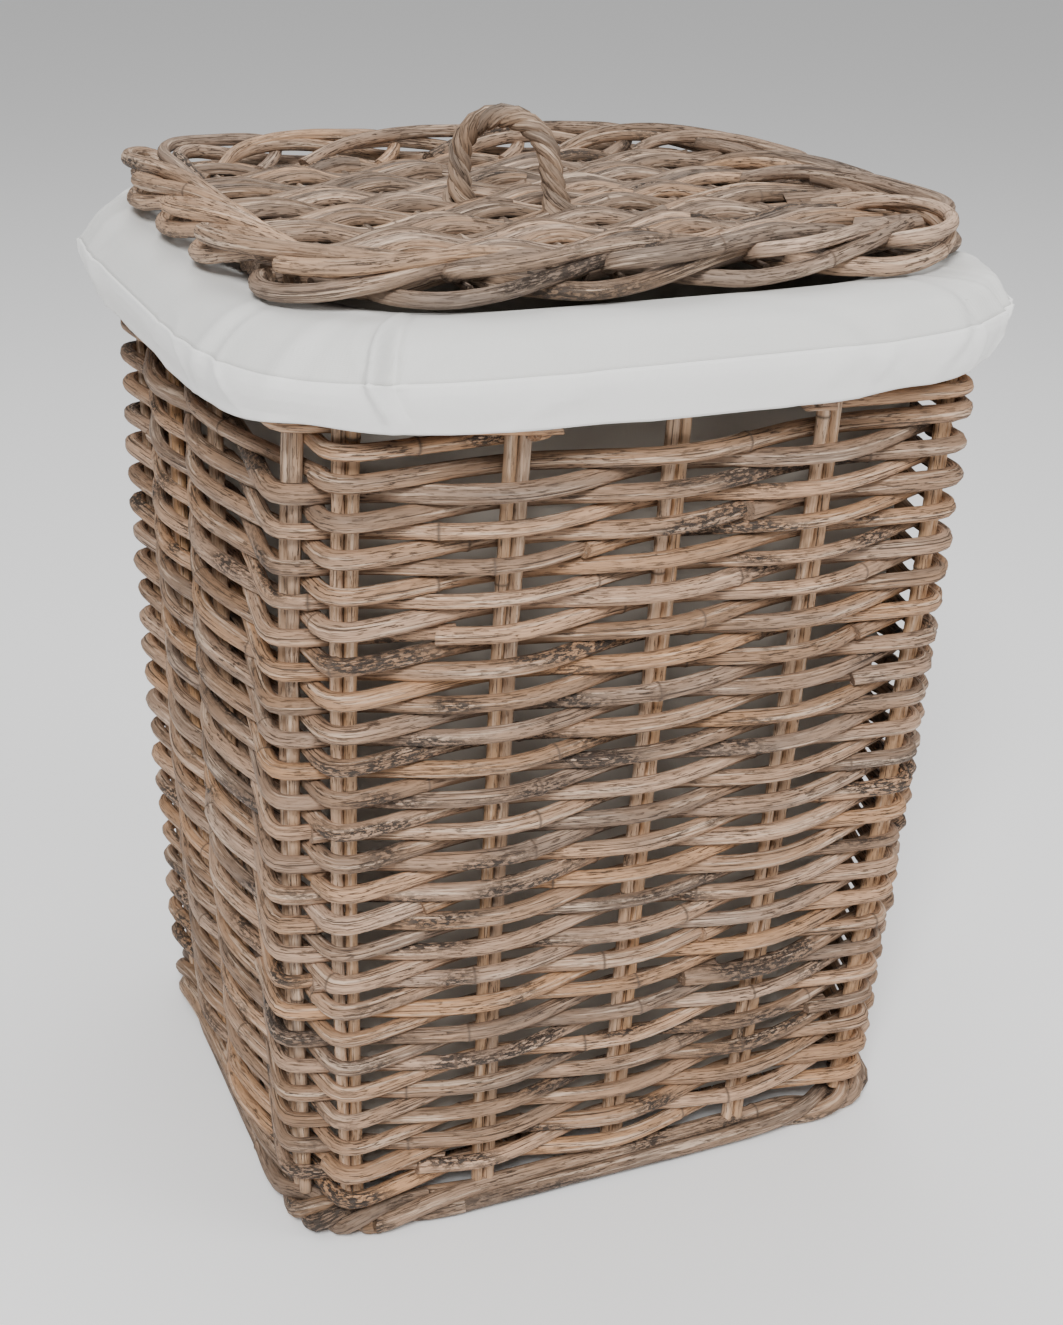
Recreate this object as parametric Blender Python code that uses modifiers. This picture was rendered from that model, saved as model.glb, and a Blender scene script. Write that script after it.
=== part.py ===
"""Lidded laundry basket: a rattan body woven on pairs of stakes, a cloth liner turned over its rim,
and a loose woven lid with a rope handle.

Metres, +Z up. The front faces -Y and the origin is the middle of the footprint, on the floor.
"""

import math

import bmesh
import bpy
from mathutils import Vector

COLLECTION = "laundry_basket_woven"
GAP = 0.0003  # left between pieces that touch

# The body. Its plan is a superellipse through the stakes, which widens and rounds off as it rises.
FOOT_HALF = (0.188, 0.163)
RIM_HALF = (0.1945, 0.214)
WALL_SWELL = (0.0045, -0.0025)
CORNER_POWER = (9.0, 6.4)
RIM_TOP = 0.545
RIM_BORDER_HEIGHT = 0.0110
FOOT_BORDER_HEIGHT = 0.022
BORDER_HALF_WIDTH = 0.0135
BORDER_ROUNDING = 0.004
OUTLINE_POINTS = 32

# The stakes: pairs of sticks, at these fractions of the half width or half depth.
FRONT_FRACTIONS = (-0.864, -0.445, 0.0, 0.445, 0.864)
SIDE_FRACTIONS = (-0.806, -0.236, 0.236, 0.806)
STICK_RADIUS = 0.0034
STICK_SPREAD = 0.0034
STAKE_STATIONS = 4

# The weave: two canes chase each other up the wall, one outside the even stakes and one the odd.
CANE_RADIUS = 0.0044
CANE_OFFSET = 0.0105
CORNER_FRACTION = 0.8
CORNER_HALF_RUN = 0.0065  # a cane lies flat this far each way outside a stake pair at a corner
WEAVE_TURNS = 23.5
WEAVE_TOP = 0.4805
TURNS_PER_CANE = 4
FIRST_COLUMNS = {"a": 15, "b": 6}
SPLICE_TRIM = 0.03

# The hand slots, at the middle of the front and back, and the canes that turn back beside them.
SLOT_PASSES = 5
SLOT_PASS_RISE = 0.0097
SLOT_TURN = ((0.0090, 0.0090), (0.0135, 0.0), (0.0090, -0.0090))
SLOT_COLUMNS = {"left": (1, -1), "right": (3, 1)}
SLOT_SPAN = 8

# The base: sticks across the foot with one cane laced over and under them.
BASE_STICK_RADIUS = 0.0034
BASE_STICK_PLACES = (-0.108, -0.054, 0.0, 0.054, 0.108)
BASE_LEVEL = 0.0115
BASE_CANE_RADIUS = 0.0032
BASE_CANE_OFFSET = 0.0070
BASE_CANE_PITCH = 0.0180
BASE_CANE_PASSES = 18
BASE_CANE_END = 0.128

# The liner: one cloth bag inside the body, turned over the rim and hanging outside it.
CLOTH = 0.0012
LINER_POWER = 5.0
LINER_FLOOR = 0.0245
LINER_INSET = 0.0215
HEM_TOP = 0.5330
HEM_BOTTOM = 0.5045
HEM_THICKNESS = 0.0022
LINER_LOOP = 32

# The lid: a border, ribs from front to back, a laced cane and a rope handle.
LID_HALF = (0.205, 0.195)
LID_POWER = 7.0
LID_BOTTOM = 0.5530
LID_HEIGHT = 0.0210
LID_BORDER_WIDTH = 0.026
LID_PANEL_RISE = 0.0040  # the panel sags to this far above the border's underside
RIB_RADIUS = 0.0033
RIB_END_GAP = 0.0020
RIB_PLACES = (-0.140, -0.100, -0.060, -0.020, 0.020, 0.060, 0.100, 0.140)
LID_CANE_RADIUS = 0.0033
LID_CANE_OFFSET = 0.0071
LID_CANE_PITCH = 0.0160
LID_CANE_PASSES = 20
LID_CANE_END = 0.160
HANDLE_RADIUS = 0.0068
HANDLE_HALF_SPAN = 0.0255
HANDLE_CENTRE = (-0.0135, 0.0)
HANDLE_TURN = math.radians(-50.0)
HANDLE_RISE = 0.047
HANDLE_POINTS = 17

# Colour, roughness
RATTAN = ((0.34, 0.24, 0.17), 0.72)
RATTAN_DARK = ((0.27, 0.19, 0.14), 0.75)
STAKE_RATTAN = ((0.40, 0.28, 0.18), 0.70)
COTTON = ((0.80, 0.78, 0.74), 0.90)


def mix(start, end, share):
    return start + (end - start) * share


def half_sizes(z):
    """Half width and half depth of the stake line at height z."""
    share = z / RIM_TOP
    swell = 4.0 * share * (1.0 - share)
    return [mix(f, r, share) + s * swell for f, r, s in zip(FOOT_HALF, RIM_HALF, WALL_SWELL)]


def corner_power(z):
    return mix(*CORNER_POWER, z / RIM_TOP)


def signed_power(value, power):
    return math.copysign(abs(value) ** power, value)


def outline(half, power, count):
    """Points of a superellipse, counter-clockwise."""
    points = []
    for i in range(count):
        turn = 2.0 * math.pi * (i + 0.5) / count
        points.append((half[0] * signed_power(math.cos(turn), 2.0 / power),
                       half[1] * signed_power(math.sin(turn), 2.0 / power)))
    return points


def column_signs():
    """Where each stake pair stands, counter-clockwise from the front left: side and fraction."""
    places = [("front", f) for f in FRONT_FRACTIONS]
    places += [("right", f) for f in SIDE_FRACTIONS]
    places += [("back", -f) for f in FRONT_FRACTIONS]
    places += [("left", -f) for f in SIDE_FRACTIONS]
    return places


COLUMNS = column_signs()


def column_place(index, z):
    """Centre of a stake pair at height z, with the wall's outward normal there."""
    side, fraction = COLUMNS[index % len(COLUMNS)]
    half_x, half_y = half_sizes(z)
    power = corner_power(z)
    other = (1.0 - abs(fraction) ** power) ** (1.0 / power)
    u, v = {"front": (fraction, -other), "back": (fraction, other),
            "left": (-other, fraction), "right": (other, fraction)}[side]
    normal = Vector((signed_power(u, power - 1.0) / half_x, signed_power(v, power - 1.0) / half_y, 0.0))
    return Vector((u * half_x, v * half_y, z)), normal.normalized()


def cane_places(index, z, side):
    """Where a cane passes a stake pair, counter-clockwise: side is 1 outside it and -1 inside it."""
    centre, normal = column_place(index, z)
    along = Vector((0.0, 0.0, 1.0)).cross(normal)
    at_corner = abs(COLUMNS[index % len(COLUMNS)][1]) > CORNER_FRACTION
    runs = (-CORNER_HALF_RUN, CORNER_HALF_RUN) if at_corner and side > 0 else (0.0,)
    return [centre + normal * CANE_OFFSET * side + along * run for run in runs]


def material(name, finish):
    colour, roughness = finish
    made = bpy.data.materials.new(name)
    made.use_nodes = True
    shader = made.node_tree.nodes["Principled BSDF"]
    shader.inputs["Base Color"].default_value = (*colour, 1.0)
    shader.inputs["Roughness"].default_value = roughness
    return made


def add(name, data, finish):
    piece = bpy.data.objects.new(name, data)
    data.materials.append(material(name + "_finish", finish))
    bpy.data.collections[COLLECTION].objects.link(piece)
    return piece


def tube(name, points, radius, finish, resolution=0):
    """A cane along straight runs between its points, closed at both ends."""
    curve = bpy.data.curves.new(name, "CURVE")
    curve.dimensions = "3D"
    curve.bevel_depth = radius
    curve.bevel_resolution = resolution
    curve.use_fill_caps = True
    spline = curve.splines.new("POLY")
    spline.points.add(len(points) - 1)
    for target, point in zip(spline.points, points):
        target.co = (*point, 1.0)
        target.radius = 1.0
    return add(name, curve, finish)


def ring_slab(name, half, power, width, bottom, height, finish):
    """A border: a flat band round a superellipse, with rounded edges."""
    curve = bpy.data.curves.new(name, "CURVE")
    curve.dimensions = "2D"
    curve.fill_mode = "BOTH"
    curve.bevel_depth = BORDER_ROUNDING
    curve.bevel_resolution = 0
    curve.extrude = height / 2.0 - BORDER_ROUNDING
    reach = width / 2.0 - BORDER_ROUNDING
    for offset in (reach, -reach):
        loop = outline((half[0] + offset, half[1] + offset), power, OUTLINE_POINTS)
        spline = curve.splines.new("POLY")
        spline.points.add(len(loop) - 1)
        for target, point in zip(spline.points, loop):
            target.co = (*point, 0.0, 1.0)
        spline.use_cyclic_u = True
    piece = add(name, curve, finish)
    piece.location.z = bottom + height / 2.0
    return piece


def stake_section():
    """Outline of two round sticks side by side: along the wall, then across it."""
    right = []
    for step in range(-2, 3):
        turn = math.radians(50.0 * step)
        right.append((STICK_SPREAD + STICK_RADIUS * math.cos(turn), STICK_RADIUS * math.sin(turn)))
    return right + [(-x, -y) for x, y in right]


def loft(name, loops, closed_ends, finish):
    """Closed loops of points joined one to the next, with the chosen ends filled: first, last."""
    mesh = bmesh.new()
    rings = [[mesh.verts.new(point) for point in points] for points in loops]
    for lower, upper in zip(rings, rings[1:]):
        for i in range(len(lower)):
            mesh.faces.new((lower[i - 1], lower[i], upper[i], upper[i - 1]))
    for ring, closed in zip((rings[0], rings[-1]), closed_ends):
        if closed:
            mesh.faces.new(ring)
    bmesh.ops.recalc_face_normals(mesh, faces=mesh.faces)
    data = bpy.data.meshes.new(name)
    mesh.to_mesh(data)
    mesh.free()
    return add(name, data, finish)


def stake_pair(index):
    side = COLUMNS[index][0]
    number = 1 + [place[0] for place in COLUMNS[:index]].count(side)
    bottom = FOOT_BORDER_HEIGHT + GAP
    top = RIM_TOP - RIM_BORDER_HEIGHT - GAP
    loops = []
    for station in range(STAKE_STATIONS):
        z = mix(bottom, top, station / (STAKE_STATIONS - 1))
        centre, normal = column_place(index, z)
        along = Vector((0.0, 0.0, 1.0)).cross(normal)
        loops.append([centre + along * x + normal * y for x, y in stake_section()])
    return loft(f"{side}_stake_pair_{number}", loops, (True, True), STAKE_RATTAN)


def weave_side(weaver, index):
    """Plus one where the weaver passes outside a column, minus one where it passes inside."""
    outside = (index % 2 == 0) == (weaver == "a")
    return 1.0 if outside else -1.0


def weaver_canes(weaver):
    """The canes of one of the two chasing weavers, end to end up the wall."""
    first = FIRST_COLUMNS[weaver]
    steps = int(WEAVE_TURNS * len(COLUMNS))
    start_z = FOOT_BORDER_HEIGHT + GAP + CANE_RADIUS

    def passing(step):
        index = first + step
        z = mix(start_z, WEAVE_TOP, step / steps)
        return cane_places(index, z, weave_side(weaver, index))

    per_cane = TURNS_PER_CANE * len(COLUMNS)
    for cane, low in enumerate(range(0, steps, per_cane), 1):
        high = min(low + per_cane, steps)
        points = [place for step in range(low, high + 1) for place in passing(step)]
        points[0] = points[0].lerp(points[1], SPLICE_TRIM)
        points[-1] = points[-1].lerp(points[-2], SPLICE_TRIM)
        finish = RATTAN if cane % 2 else RATTAN_DARK
        tube(f"weaver_{weaver}_cane_{cane}", points, CANE_RADIUS, finish)


def slot_turn(before, last, z):
    """Round the last stake pair beside a hand slot, from its outside to its inside."""
    end, normal = column_place(last, z)
    onward = (end - column_place(before, z)[0]).normalized()
    rises = [SLOT_PASS_RISE * (i + 1) / (len(SLOT_TURN) + 1) for i in range(len(SLOT_TURN))]
    return [end + onward * reach + normal * out + Vector((0.0, 0.0, rise))
            for (reach, out), rise in zip(SLOT_TURN, rises)]


def slot_cane(side):
    """The cane that goes to and fro between the front and back hand slots, round one side."""
    first, direction = SLOT_COLUMNS[side]
    columns = [first + direction * step for step in range(SLOT_SPAN)]
    points = []
    for turn in range(SLOT_PASSES):
        z = WEAVE_TOP + SLOT_PASS_RISE * (turn + 1)
        route = columns if turn % 2 == 0 else columns[::-1]
        for step, index in enumerate(route):
            places = cane_places(index, z, 1.0 if step % 2 else -1.0)
            points += places if route[0] < route[-1] else places[::-1]
        if turn < SLOT_PASSES - 1:
            points += slot_turn(route[-2], route[-1], z)
    tube(f"slot_cane_{side}", points, CANE_RADIUS, RATTAN)


def laced_points(passes, pitch, places, end, level, offset):
    """A cane laced to and fro: along the second axis, over and under rods at the given places."""
    points = []
    for turn in range(passes):
        across = (turn - (passes - 1) / 2.0) * pitch
        rods = places if turn % 2 == 0 else places[::-1]
        for step, place in enumerate(rods):
            lift = offset if (step + turn) % 2 else -offset
            points.append((across, place, level + lift))
        if turn < passes - 1:
            points.append((across + pitch / 2.0, math.copysign(end, rods[-1]), level))
    return points


def base():
    half = [size - BORDER_HALF_WIDTH - 2.0 * GAP for size in half_sizes(0.0)]
    for number, y in enumerate(BASE_STICK_PLACES, 1):
        reach = half[0] * (1.0 - (abs(y) / half[1]) ** CORNER_POWER[0]) ** (1.0 / CORNER_POWER[0]) - GAP
        ends = [(-reach, y, BASE_LEVEL), (reach, y, BASE_LEVEL)]
        tube(f"base_stick_{number}", ends, BASE_STICK_RADIUS, STAKE_RATTAN, resolution=1)
    points = laced_points(BASE_CANE_PASSES, BASE_CANE_PITCH, BASE_STICK_PLACES, BASE_CANE_END,
                          BASE_LEVEL, BASE_CANE_OFFSET)
    tube("base_cane", points, BASE_CANE_RADIUS, RATTAN)


def cloth_loops(profile):
    """Loops of the cloth, one for each (offset from the stake line, height) of the profile."""
    loops = []
    for offset, z in profile:
        half = [size + offset for size in half_sizes(min(z, RIM_TOP))]
        loops.append([(x, y, z) for x, y in outline(half, LINER_POWER, LINER_LOOP)])
    return loops


def thicken(piece, thickness):
    solidify = piece.modifiers.new("thickness", "SOLIDIFY")
    solidify.thickness = thickness
    solidify.offset = 0.0


def liner():
    """The bag with its turnover, and the hem sewn round the turnover's lower edge."""
    inside = -LINER_INSET
    bag = [(inside - 0.010, LINER_FLOOR), (inside, LINER_FLOOR + 0.012), (inside, 0.20), (inside, 0.38),
           (inside, RIM_TOP - 0.006), (-0.012, RIM_TOP + 0.0050), (0.012, RIM_TOP + 0.0050),
           (0.0245, RIM_TOP - 0.002), (0.0295, RIM_TOP - 0.007), (0.0290, HEM_TOP + GAP)]
    thicken(loft("liner_bag", cloth_loops(bag), (True, False), COTTON), CLOTH)

    hem = [(0.0290, HEM_TOP - HEM_THICKNESS / 2.0), (0.0265, mix(HEM_TOP, HEM_BOTTOM, 0.5)),
           (0.0235, HEM_BOTTOM)]
    thicken(loft("liner_hem", cloth_loops(hem), (False, False), COTTON), HEM_THICKNESS)


def lid():
    middle = [size - LID_BORDER_WIDTH / 2.0 for size in LID_HALF]
    ring_slab("lid_border", middle, LID_POWER, LID_BORDER_WIDTH, LID_BOTTOM, LID_HEIGHT, RATTAN_DARK)
    inner = [size - LID_BORDER_WIDTH for size in LID_HALF]
    level = LID_BOTTOM + LID_PANEL_RISE
    for number, x in enumerate(RIB_PLACES, 1):
        reach = inner[1] * (1.0 - (abs(x) / inner[0]) ** LID_POWER) ** (1.0 / LID_POWER) - RIB_END_GAP
        ends = [(x, -reach, level), (x, reach, level)]
        tube(f"lid_rib_{number}", ends, RIB_RADIUS, STAKE_RATTAN, resolution=1)
    laced = laced_points(LID_CANE_PASSES, LID_CANE_PITCH, RIB_PLACES, LID_CANE_END, level, LID_CANE_OFFSET)
    tube("lid_cane", [(y, x, z) for x, y, z in laced], LID_CANE_RADIUS, RATTAN)
    lid_handle(level + LID_CANE_OFFSET + LID_CANE_RADIUS + GAP)


def lid_handle(foot_level):
    """A rope hoop standing on the middle of the lid, its feet turned a little out of line with it."""
    centre = Vector((*HANDLE_CENTRE, foot_level))
    across = Vector((math.cos(HANDLE_TURN), math.sin(HANDLE_TURN), 0.0)) * HANDLE_HALF_SPAN
    shoulder = HANDLE_RISE - HANDLE_HALF_SPAN - HANDLE_RADIUS
    points = [centre - across]
    for i in range(HANDLE_POINTS):
        turn = math.pi * i / (HANDLE_POINTS - 1)
        rise = shoulder + HANDLE_HALF_SPAN * math.sin(turn)
        points.append(centre - across * math.cos(turn) + Vector((0.0, 0.0, rise)))
    points.append(centre + across)
    tube("lid_handle", points, HANDLE_RADIUS, RATTAN_DARK, resolution=2)


def build():
    for old in list(bpy.data.objects):
        bpy.data.objects.remove(old)
    bpy.context.scene.collection.children.link(bpy.data.collections.new(COLLECTION))
    foot_half = half_sizes(0.0)
    ring_slab("foot_border", foot_half, CORNER_POWER[0], 2.0 * BORDER_HALF_WIDTH, 0.0,
              FOOT_BORDER_HEIGHT, RATTAN_DARK)
    ring_slab("rim_border", half_sizes(RIM_TOP), CORNER_POWER[1], 2.0 * BORDER_HALF_WIDTH,
              RIM_TOP - RIM_BORDER_HEIGHT, RIM_BORDER_HEIGHT, RATTAN_DARK)
    for index in range(len(COLUMNS)):
        stake_pair(index)
    for weaver in FIRST_COLUMNS:
        weaver_canes(weaver)
    for side in SLOT_COLUMNS:
        slot_cane(side)
    base()
    liner()
    lid()


build()
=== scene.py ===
"""A woven rattan laundry basket with a cotton liner and a loose lid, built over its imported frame.

Metres, +Z up, the front faces -Y. Canes are swept tubes that share one builder. Each carries its own
straightened coordinates, so bark, cracks and fibres run along the cane however it bends.
"""

import math
import random

import bmesh
import bpy
import numpy as np
from mathutils import Matrix, Vector, noise


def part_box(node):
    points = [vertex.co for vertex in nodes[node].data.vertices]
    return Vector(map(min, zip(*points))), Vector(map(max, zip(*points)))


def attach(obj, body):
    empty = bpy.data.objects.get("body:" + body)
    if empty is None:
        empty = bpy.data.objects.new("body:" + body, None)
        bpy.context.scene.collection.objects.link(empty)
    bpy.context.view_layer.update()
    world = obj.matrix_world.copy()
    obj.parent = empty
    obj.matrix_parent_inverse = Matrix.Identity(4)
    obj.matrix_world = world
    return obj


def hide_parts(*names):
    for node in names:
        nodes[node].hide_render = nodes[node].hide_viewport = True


UP = Vector((0.0, 0.0, 1.0))

# Every cane
CANE_STEP = 0.0055
CANE_SIDES = 12
CUT_END_MARK = 0.35  # how dark a cut end is, against a ring mark
TOUCH_GAP = 0.0002

# Wall
SIDES = (("front", 5), ("right", 4), ("back", 5), ("left", 4))
STICK_RADIUS = 0.0035
STICK_SPREAD = 0.0036
STICK_STEP = 0.008
WEAVE_TURNS = 23.5
TURNS_PER_CANE = 4
FIRST_COLUMNS = {"a": 15, "b": 6}
CANE_RADII = (0.0043, 0.0054)
CAD_CANE_RADIUS = 0.0044
CORNER_HALF_RUN = 0.0045
ROD_STEPS = (11, 21)
SHORTEST_ROD = 6
BORDER_STRANDS = 3
BORDER_POINTS = 420
BORDER_WANDER = 0.0012

# Hand slots
SLOT_PASSES = 5
SLOT_PASS_RISE = 0.0097
SLOT_CANE_RADII = (0.0044, 0.0052)
SLOT_COLUMNS = {"left": (1, -1), "right": (3, 1)}
SLOT_SEEDS = {"left": 31, "right": 57}
SLOT_SPAN = 8

# Base
BASE_STICKS = 5
BASE_STICK_RADIUS = 0.0034
BASE_CANES = 34
BASE_CANE_RADIUS = 0.0036
BASE_CANE_LIFT = 0.0062

# Liner, with plans as superellipse powers and angles in degrees from +X, anticlockwise from above
LINER_POWER = 5.0
BAG_POWER = 9.2
LINER_COUNT = 560
SEAM_SHARE = 0.6  # the part of the turned-over cloth that lies above the seam
SAG_ANGLE = 143.0
SAG_DEPTH = 0.0090
SAG_WIDTH = 30.0
PERK_HEIGHT = 0.0042
PERK_AWAY = 182.0  # from the sag to where the skirt stands up
BAG_DRAWN_IN = 0.024
SKIRT_CREASES = (  # angle, lean, height in metres, width
    (242.0, 9.0, 0.0075, 1.5), (221.0, -12.0, 0.0018, 3.4), (272.0, 16.0, 0.0018, 1.8),
    (291.0, -12.0, 0.0016, 2.6), (306.0, 14.0, 0.0020, 2.2), (315.0, -10.0, 0.0026, 1.8),
    (342.0, 12.0, 0.0018, 2.4), (12.0, -10.0, 0.0020, 2.2),
    (43.0, 9.0, 0.0036, 1.3), (51.0, -9.0, 0.0026, 1.6), (95.0, 12.0, 0.0018, 2.4),
    (128.0, -9.0, 0.0034, 1.5), (138.0, 10.0, 0.0028, 1.4), (172.0, 10.0, 0.0018, 2.6),
    (197.0, -10.0, 0.0022, 2.0),
)
HEM_WAVES = ((228.0, 0.0045, 16.0), (318.0, 0.0024, 14.0))  # angle, height in metres, width

# Lid
OUTLINE_POINTS = 900
LID_POWER = 5.2
LID_PITCH = 0.041
LID_EDGE_RADII = (0.0038, 0.0047)
LID_RIB_RADIUS = 0.0021
LID_PANEL_CANES = 44
LID_PANEL_RADII = (0.0037, 0.0044)
LID_OVER = 0.0045
LID_UNDER = -0.0024
LID_END_RISE = 0.0014
LID_ARM = (  # along the edge, out from its middle line, up
    (-0.030, -0.034, -0.0066), (-0.014, -0.014, -0.0074), (0.002, 0.0030, -0.0070),
    (0.018, 0.0105, -0.0074), (0.042, 0.0105, -0.0048), (0.068, 0.0055, 0.0008),
    (0.096, -0.0030, 0.0058), (0.124, -0.0120, 0.0066), (0.150, -0.0215, 0.0036),
    (0.172, -0.0300, -0.0030),
)
LID_HAIRPIN = (
    (0.014, -0.034, -0.0050), (-0.001, -0.0160, -0.0014), (-0.0085, -0.0020, 0.0026),
    (-0.0070, 0.0085, 0.0060), (0.004, 0.0125, 0.0074), (0.026, 0.0100, 0.0086),
    (0.054, 0.0015, 0.0104), (0.084, -0.0090, 0.0100), (0.112, -0.0195, 0.0060),
    (0.136, -0.0290, -0.0020),
)

# Handle
HANDLE_RADIUS = 0.0068
HANDLE_STRANDS = 4
STRAND_RADIUS = 0.0034
STRAND_SPREAD = 0.0037
STRAND_PITCH = 0.034
HOOP_STEPS = 32
SPINE_STEP = 0.002

# Studio
LAMP_AIM = Vector((0.0, 0.0, 0.3))
CAMERA_PLACE = Vector((-0.4336, -1.0358, 0.7639))
CAMERA_TURNS = (0.4065, 0.4107, 0.0193)  # yaw, pitch and roll
CAMERA_LENS = 52.71


def mix(start, end, share):
    return start + (end - start) * share


def smooth(low, high, value):
    share = min(1.0, max(0.0, (value - low) / (high - low)))
    return share * share * (3.0 - 2.0 * share)


# ---------------------------------------------------------------- the frame

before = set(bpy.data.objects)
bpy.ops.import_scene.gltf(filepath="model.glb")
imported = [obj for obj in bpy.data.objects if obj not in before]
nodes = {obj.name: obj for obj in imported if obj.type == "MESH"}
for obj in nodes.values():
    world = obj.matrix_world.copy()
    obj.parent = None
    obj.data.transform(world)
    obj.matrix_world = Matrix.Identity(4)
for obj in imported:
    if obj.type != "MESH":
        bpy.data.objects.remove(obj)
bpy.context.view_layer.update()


def stake_stations(node):
    """Height, centre and outward normal at each level of a stake pair, from the bottom up."""
    points = {tuple(round(c, 5) for c in v.co) for v in nodes[node].data.vertices}
    levels = {}
    for point in points:
        levels.setdefault(round(point[2], 3), []).append(point)
    stations = []
    for _, level in sorted(levels.items()):
        spread = np.array(level)
        centre = spread.mean(axis=0)
        flat = (spread - centre)[:, :2]
        along = Vector((*np.linalg.eigh(flat.T @ flat)[1][:, 1], 0.0))
        normal = Vector((along.y, -along.x, 0.0))
        if normal.dot(Vector(centre)) < 0.0:
            normal.negate()
        stations.append((float(centre[2]), Vector(centre), normal))
    return stations


COLUMN_NODES = [f"{side}_stake_pair_{i}" for side, count in SIDES for i in range(1, count + 1)]
STATIONS = [stake_stations(node) for node in COLUMN_NODES]
COLUMNS = len(COLUMN_NODES)
CORNERS = {0, 4, 5, 8, 9, 13, 14, 17}  # the end pairs of each side
RIGHT_COLUMNS = range(5, 9)
BACK_COLUMNS = range(9, 14)


def column(index, z):
    """Centre, direction along the wall and outward normal of a stake pair at a height."""
    stations = STATIONS[index % COLUMNS]
    after = 1
    while after < len(stations) - 1 and stations[after][0] < z:
        after += 1
    low, high = stations[after - 1], stations[after]
    share = (z - low[0]) / (high[0] - low[0])
    centre = low[1].lerp(high[1], share)
    normal = low[2].lerp(high[2], share).normalized()
    return centre, UP.cross(normal), normal


def half_sizes(z):
    """Half width and half depth of the stake line at a height."""
    right = max(column(i, z)[0].x for i in RIGHT_COLUMNS)
    back = max(column(i, z)[0].y for i in BACK_COLUMNS)
    return right, back


# ---------------------------------------------------------------- lines

def superellipse(turn, power):
    """The point at an angle on a level superellipse of half size 1."""
    c, s = math.cos(turn), math.sin(turn)
    return Vector((math.copysign(abs(c) ** (2.0 / power), c),
                   math.copysign(abs(s) ** (2.0 / power), s), 0.0))


def even(points, step):
    """Points a step apart along a path."""
    gaps = [0.0]
    for p, q in zip(points, points[1:]):
        gaps.append(gaps[-1] + (q - p).length)
    places = np.linspace(0.0, gaps[-1], max(2, round(gaps[-1] / step)))
    coords = [np.interp(places, gaps, [p[k] for p in points]) for k in range(3)]
    return [Vector(c) for c in zip(*coords)]


def catmull(points, step):
    """Points about a step apart on a smooth curve through the given ones."""
    ends = [points[0] * 2.0 - points[1]] + list(points) + [points[-1] * 2.0 - points[-2]]
    fine = []
    for before, start, end, after in zip(ends, ends[1:], ends[2:], ends[3:]):
        gaps = [max((q - p).length, 1e-6) ** 0.5
                for p, q in ((before, start), (start, end), (end, after))]
        leave = ((start - before) / gaps[0] - (end - before) / (gaps[0] + gaps[1])
                 + (end - start) / gaps[1]) * gaps[1]
        arrive = ((end - start) / gaps[1] - (after - start) / (gaps[1] + gaps[2])
                  + (after - end) / gaps[2]) * gaps[1]
        count = max(1, round((end - start).length / step))
        for i in range(count):
            t = i / count
            fine.append(start * (2 * t**3 - 3 * t**2 + 1) + leave * (t**3 - 2 * t**2 + t)
                        + end * (3 * t**2 - 2 * t**3) + arrive * (t**3 - t**2))
    fine.append(points[-1])
    return fine


# ---------------------------------------------------------------- canes

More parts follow.
